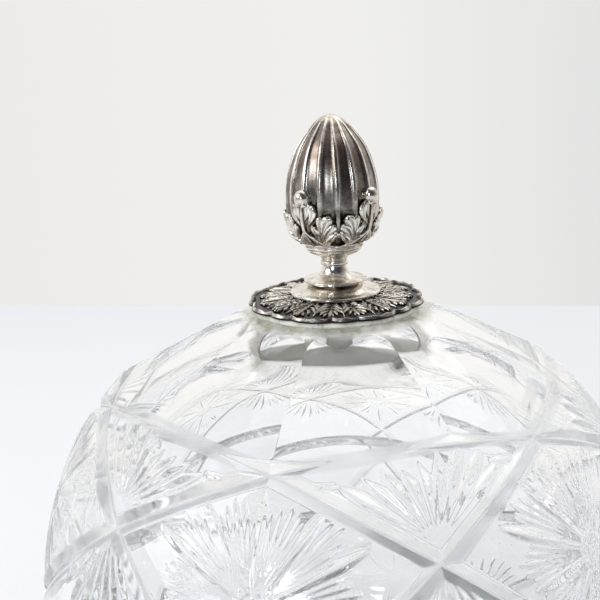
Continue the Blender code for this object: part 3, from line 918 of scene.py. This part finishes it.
def cut_glass_material():
    """Clear glass: satin in the mitres, tinted grey there as painted shade, with dirt specks and a
    cement stain by the plate.
    """
    n = Nodes("cut_glass_clear")
    n.set(Roughness=0.0, IOR=1.53)
    cut, mitre = n.attribute("cut"), n.attribute("mitre")
    grain = n.noise(900.0, 3.0)
    rough = n.math("MULTIPLY", cut, n.math("MULTIPLY", grain, 0.10))
    frost = n.math("MULTIPLY", mitre, n.math("ADD", n.math("MULTIPLY", grain, 0.06), 0.17))
    frost = n.math("MAXIMUM", frost, n.math("MULTIPLY", n.attribute("stain"), 0.12))
    n.link(n.math("MAXIMUM", rough, frost), n.shader.inputs["Roughness"])
    specks = n.add("ShaderNodeTexVoronoi", Scale=420.0)
    n.link(n.place(), specks.inputs["Vector"])
    dot = n.ramp(specks.outputs["Distance"], (0.05, (1, 1, 1)), (0.11, (0, 0, 0)))
    patch = n.ramp(n.noise(60.0, 2.0), (0.60, (0, 0, 0)), (0.68, (1, 1, 1)))
    dirt = n.math("MULTIPLY", n.math("MULTIPLY", dot, patch), 0.8)
    # painted shade: the glass colour is grey in the mitres, on top of their satin roughness
    clear_and_mitre_shade = n.mix(mitre, (0.994, 0.996, 0.996), (0.83, 0.835, 0.85))
    colour = n.mix(dirt, clear_and_mitre_shade, (0.16, 0.12, 0.08))
    smear = n.math("ADD", n.attribute("stain"), n.math("SUBTRACT", n.noise(170.0, 4.0), 0.9))
    smear = n.math("MULTIPLY", smear, 1.7, clamp=True)
    residue = n.ramp(n.noise(420.0, 5.0), (0.36, (0.32, 0.31, 0.22)), (0.5, (0.50, 0.49, 0.42)),
                     (0.7, (0.64, 0.63, 0.57)))
    colour = n.mix(smear, colour, residue)
    n.link(n.math("SUBTRACT", 1.0, n.math("MULTIPLY", smear, 0.6)),
           n.shader.inputs["Transmission Weight"])
    n.link(colour, n.shader.inputs["Base Color"])
    n.bump(n.noise(55.0, 2.0), 0.06, 0.0006)
    return n.material


def silver_material(name, bright, dull, tarnish, darkness, polish, mottle):
    """Old silver: pale where it is rubbed, brown to black where polish never reaches."""
    n = Nodes(name)
    n.set(Metallic=1.0)
    recess = n.attribute("recess")
    cloud = n.noise(160.0, 5.0, 0.6)
    fine = n.noise(900.0, 6.0, 0.7)
    patchy = n.math("ADD", n.math("MULTIPLY", n.noise(240.0, 5.0, 0.65), 2.2), -0.32,
                    clamp=True)
    patchy = n.math("ADD", n.math("MULTIPLY", patchy, mottle), 1.0 - mottle)
    brown = n.ramp(n.noise(75.0, 3.0), (0.42, (0, 0, 0)), (0.58, (1, 1, 1)))
    tarnish = n.mix(brown, tarnish, tuple(k * w for k, w in zip(tarnish, (2.6, 2.0, 1.7))))
    worn = n.ramp(cloud, (0.38, (0, 0, 0)), (0.66, (1, 1, 1)))
    base = n.mix(worn, bright, dull)
    pits = n.ramp(fine, (0.53, (0, 0, 0)), (0.66, (1, 1, 1)))
    blotch = n.ramp(n.noise(360.0, 5.0, 0.65), (0.47, (0, 0, 0)), (0.60, (1, 1, 1)))
    base = n.mix(n.math("MULTIPLY", blotch, 0.42), base, (0.26, 0.18, 0.12))
    base = n.mix(n.math("MULTIPLY", pits, 0.55), base, tarnish)
    crevice = n.add("ShaderNodeNewGeometry").outputs["Pointiness"]
    hollow = n.ramp(crevice, (0.40, (1, 1, 1)), (0.495, (0, 0, 0)))
    kept = n.math("MULTIPLY", n.math("MULTIPLY", recess, darkness), patchy)
    sunk = n.math("MAXIMUM", kept, hollow)
    base = n.mix(sunk, base, tarnish)
    n.link(base, n.shader.inputs["Base Color"])
    rough = n.math("ADD", n.math("MULTIPLY", fine, 0.14), polish)
    rough = n.math("ADD", rough, n.math("MULTIPLY", sunk, 0.06))
    n.link(rough, n.shader.inputs["Roughness"])
    n.bump(n.math("ADD", fine, n.math("MULTIPLY", cloud, 0.6)), 0.10, 0.0002)
    return n.material


def brass_material():
    """Brass with remains of its plating."""
    n = Nodes("worn_plated_brass")
    n.set(Metallic=1.0)
    cloud = n.noise(300.0, 5.0, 0.6)
    n.link(n.ramp(cloud, (0.35, (0.34, 0.27, 0.16)), (0.6, (0.52, 0.47, 0.38)),
                  (0.75, (0.62, 0.58, 0.5))), n.shader.inputs["Base Color"])
    n.link(n.math("ADD", n.math("MULTIPLY", cloud, 0.3), 0.2), n.shader.inputs["Roughness"])
    n.bump(n.noise(2200.0, 3.0), 0.12)
    return n.material


def cement_material():
    """Old cement: olive grey, with brown and green stains and a fine crumb."""
    n = Nodes("aged_cement")
    blotch = n.noise(240.0, 5.0, 0.65)
    stain = n.noise(620.0, 4.0, 0.6)
    base = n.ramp(blotch, (0.34, (0.50, 0.49, 0.40)), (0.5, (0.66, 0.65, 0.57)),
                  (0.68, (0.78, 0.77, 0.72)))
    brown = n.ramp(stain, (0.56, (0, 0, 0)), (0.66, (1, 1, 1)))
    base = n.mix(n.math("MULTIPLY", brown, 0.6), base, (0.24, 0.18, 0.11))
    n.link(base, n.shader.inputs["Base Color"])
    n.set(Roughness=0.85)
    n.bump(n.noise(2600.0, 3.0), 0.3, 0.0002)
    return n.material


# ---------------------------------------------------------------- light, floor and camera
CAMERA_TURN = 16.6                    # degrees that the camera stands round from -Y
CAMERA_AT = (-7.83, -194.4, 50.9)     # mm from the plate's plane, before that turn
CAMERA_UP = (0.04200, 0.25155, 0.96693)
CAMERA_RIGHT = (0.99912, -0.01058, -0.04065)
CAMERA_LENS = 54.9
FLOOR_FAR = 478.0                     # mm from the axis to the cloth's far edge
FLOOR_NEAR = -1800.0
FLOOR_SIDE = 1800.0
FLOOR_SKEW = -0.163                   # how far the far edge runs back for each mm to the right
FLOOR_GAP = 0.05                      # keeps the cloth from wetting the glass


def camera():
    """Camera close to the lid, looking down at it with a slight tilt."""
    data = bpy.data.cameras.new("camera")
    data.lens = CAMERA_LENS
    data.sensor_width = 36.0
    data.clip_start = 0.01
    item = bpy.data.objects.new("camera", data)
    turn = Matrix.Rotation(math.radians(CAMERA_TURN), 4, "Z")
    right, up = Vector(CAMERA_RIGHT).normalized(), Vector(CAMERA_UP)
    up = (up - right * up.dot(right)).normalized()
    back = right.cross(up)
    look = Matrix((right, up, back)).transposed().to_4x4()
    at = Matrix.Translation(Vector(CAMERA_AT) * MM + Vector((0, 0, PLATE_Z * MM)))
    item.matrix_world = turn @ at @ look
    bpy.context.scene.collection.objects.link(item)
    bpy.context.scene.camera = item
    return item


def facing_camera(x, y, z):
    """World point in metres from mm in a frame turned to face the camera."""
    turn = Matrix.Rotation(math.radians(CAMERA_TURN), 3, "Z")
    return turn @ Vector((x, y, z)) * MM


def floor():
    """Pale cloth. Its far edge is skewed, so that it looks level from the tilted camera."""
    shape = bmesh.new()
    bmesh.ops.create_grid(shape, x_segments=8, y_segments=8, size=0.5)
    for v in shape.verts:
        x = v.co.x * 2 * FLOOR_SIDE
        deep = FLOOR_FAR + FLOOR_SKEW * x - FLOOR_NEAR
        v.co = facing_camera(x, (v.co.y + 0.5) * deep + FLOOR_NEAR, -FLOOR_GAP)
    mesh = bpy.data.meshes.new("floor")
    shape.to_mesh(mesh)
    shape.free()
    item = bpy.data.objects.new("floor", mesh)
    bpy.context.scene.collection.objects.link(item)
    n = Nodes("pale_cloth")
    weave = n.noise(1500.0, 2.0)
    n.link(n.mix(weave, (0.765, 0.77, 0.785), (0.805, 0.81, 0.825)), n.shader.inputs["Base Color"])
    n.set(Roughness=0.9)
    n.bump(weave, 0.15, 0.0003)
    mesh.materials.append(n.material)


def world():
    """Pale studio, darkest in front. The silver, the glass, the cloth and the eye each get
    their own shade of it.
    """
    made = bpy.data.worlds.new("studio")
    bpy.context.scene.world = made
    made.use_nodes = True
    tree = made.node_tree
    add, link = tree.nodes.new, tree.links.new
    background = tree.nodes["Background"]
    where = add("ShaderNodeTexCoord")
    turn = add("ShaderNodeMapping")
    turn.inputs["Rotation"].default_value = (0, 0, math.radians(-CAMERA_TURN))
    link(where.outputs["Generated"], turn.inputs["Vector"])
    split = add("ShaderNodeSeparateXYZ")
    link(turn.outputs["Vector"], split.inputs["Vector"])
    depth = add("ShaderNodeMapRange")
    depth.inputs["From Min"].default_value = -1.0
    depth.inputs["From Max"].default_value = 1.0
    link(split.outputs["Y"], depth.inputs["Value"])

    across = add("ShaderNodeMapRange")
    across.inputs["From Min"].default_value = -0.35
    across.inputs["From Max"].default_value = 0.35
    link(split.outputs["X"], across.inputs["Value"])

    def ramp(source, stops):
        node = add("ShaderNodeValToRGB")
        band = node.color_ramp
        while len(band.elements) < len(stops):
            band.elements.new(0.5)
        for element, (at, colour) in zip(band.elements, stops):
            element.position = at
            element.color = (*colour, 1)
        link(source.outputs["Result"], node.inputs["Fac"])
        return node.outputs["Color"]

    wall = ramp(across, ((0.0, (0.845, 0.835, 0.81)), (0.6, (0.87, 0.865, 0.85)),
                         (1.0, (0.765, 0.765, 0.765))))
    mirrored = ramp(depth, ((0.0, (0.03, 0.03, 0.035)), (0.22, (0.07, 0.07, 0.08)),
                     (0.45, (0.34, 0.34, 0.36)), (0.66, (0.92, 0.92, 0.91)),
                     (1.0, (0.96, 0.95, 0.93))))
    through = ramp(depth, ((0.0, (0.60, 0.60, 0.60)), (0.3, (0.74, 0.74, 0.75)),
                           (0.6, (0.95, 0.95, 0.95)), (1.0, (0.96, 0.95, 0.94))))
    path = add("ShaderNodeLightPath")
    colour = through
    for ray, shade in (("Is Glossy Ray", mirrored), ("Is Diffuse Ray", (0.80, 0.81, 0.82, 1)),
                       ("Is Camera Ray", wall)):
        mix = add("ShaderNodeMix")
        mix.data_type = "RGBA"
        link(path.outputs[ray], mix.inputs[0])
        link(colour, mix.inputs[6])
        if isinstance(shade, tuple):
            mix.inputs[7].default_value = shade
        else:
            link(shade, mix.inputs[7])
        colour = mix.outputs[2]
    link(colour, background.inputs["Color"])


def area_light(name, at, toward, size, power, colour=(1, 1, 1)):
    data = bpy.data.lights.new(name, "AREA")
    data.shape = "RECTANGLE"
    data.size, data.size_y = (side * MM for side in size)
    data.energy = power
    data.color = colour
    item = bpy.data.objects.new(name, data)
    item.location = facing_camera(*at)
    away = facing_camera(*at) - facing_camera(*toward)
    item.rotation_mode = "QUATERNION"
    item.rotation_quaternion = away.to_track_quat("Z", "Y")
    bpy.context.scene.collection.objects.link(item)
    return item


def lights():
    middle = (0, 0, 110)
    area_light("window_left", (-700, -250, 620), middle, (500, 600), 2.9, (0.95, 0.98, 1.0))
    area_light("overhead", (150, 250, 900), middle, (900, 900), 2.2, (1.0, 0.99, 0.97))
    area_light("window_small", (-230, -600, 300), middle, (90, 150), 0.8, (0.8, 0.9, 1.0))


def light_paths():
    """Let light pass through the many surfaces of cut glass before it is given up."""
    cycles = bpy.context.scene.cycles
    cycles.max_bounces = 24
    cycles.glossy_bounces = 16
    cycles.transmission_bounces = 20


# ---------------------------------------------------------------- make it all
def main():
    bpy.context.scene.view_settings.view_transform = "Standard"
    light_paths()
    camera()
    floor()
    world()
    lights()
    glass = cut_glass_material()
    for item in (lid_glass(), jar_glass()):
        item.data.materials.append(glass)
    silver = silver_material("old_silver_bright", (0.97, 0.93, 0.86), (0.76, 0.70, 0.61),
                             (0.060, 0.048, 0.041), 1.0, 0.15, 0.7)
    oxide = silver_material("oxidised_silver_plate", (0.94, 0.89, 0.80), (0.60, 0.55, 0.48),
                            (0.020, 0.019, 0.022), 1.1, 0.2, 0.15)
    brass, cement = brass_material(), cement_material()
    fluted_bud(silver)
    for number in range(LEAVES):
        acanthus_leaf(number, silver)
        berry(number, silver)
    rosette(oxide)
    sprigs(oxide)
    stem(silver)
    fixings(brass, cement)


main()
